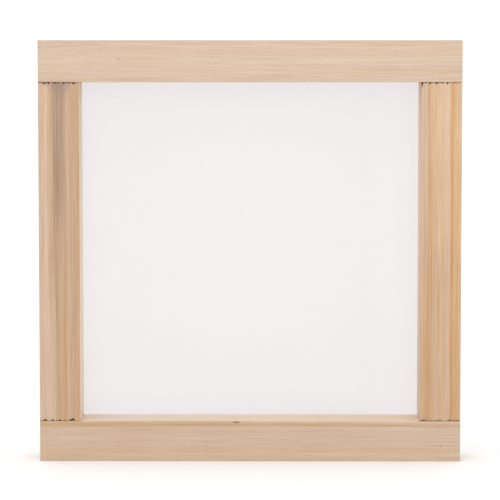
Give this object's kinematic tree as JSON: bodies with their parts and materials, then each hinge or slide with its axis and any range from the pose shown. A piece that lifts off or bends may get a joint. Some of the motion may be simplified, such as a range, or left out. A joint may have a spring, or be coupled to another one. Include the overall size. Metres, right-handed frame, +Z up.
{
  "type": "screen printing frame",
  "caption": "Square wooden screen printing frame: full-width rails, butted stiles with hidden dowels, and a white mesh held over the back by stapled tape.",
  "frame": {"origin": "under the middle of the bottom rail, on the plane the frame stands on", "axes": "+X along the rails, from the left stile to the right one; +Y from the front, the squeegee side, to the back, the printing side; +Z up the stiles"},
  "size_m": [0.25, 0.0272, 0.25],
  "materials": {
    "bar_wood": "sanded, unfinished pale softwood",
    "dowel_wood": "raw fluted beech",
    "mesh_fabric": "fine white monofilament plain weave",
    "tape_fabric": "undyed woven cotton tape",
    "staple_steel": "bright galvanised wire"
  },
  "bodies": {
    "root": {"top_rail": "bar_wood", "bottom_rail": "bar_wood", "left_stile": "bar_wood", "right_stile": "bar_wood", "screen_mesh": "mesh_fabric", "top_tape": "tape_fabric", "bottom_tape": "tape_fabric", "left_tape": "tape_fabric", "right_tape": "tape_fabric", "dowel_top_left_1": "dowel_wood", "dowel_top_left_2": "dowel_wood", "dowel_top_right_1": "dowel_wood", "dowel_top_right_2": "dowel_wood", "dowel_bottom_left_1": "dowel_wood", "dowel_bottom_left_2": "dowel_wood", "dowel_bottom_right_1": "dowel_wood", "dowel_bottom_right_2": "dowel_wood", "staple_top_1": "staple_steel", "staple_top_2": "staple_steel", "staple_top_3": "staple_steel", "staple_top_4": "staple_steel", "staple_top_5": "staple_steel", "staple_top_6": "staple_steel", "staple_top_7": "staple_steel", "staple_top_8": "staple_steel", "staple_bottom_1": "staple_steel", "staple_bottom_2": "staple_steel", "staple_bottom_3": "staple_steel", "staple_bottom_4": "staple_steel", "staple_bottom_5": "staple_steel", "staple_bottom_6": "staple_steel", "staple_bottom_7": "staple_steel", "staple_bottom_8": "staple_steel", "staple_left_1": "staple_steel", "staple_left_2": "staple_steel", "staple_left_3": "staple_steel", "staple_left_4": "staple_steel", "staple_left_5": "staple_steel", "staple_left_6": "staple_steel", "staple_left_7": "staple_steel", "staple_left_8": "staple_steel", "staple_right_1": "staple_steel", "staple_right_2": "staple_steel", "staple_right_3": "staple_steel", "staple_right_4": "staple_steel", "staple_right_5": "staple_steel", "staple_right_6": "staple_steel", "staple_right_7": "staple_steel", "staple_right_8": "staple_steel"}
  },
  "joints": []
}
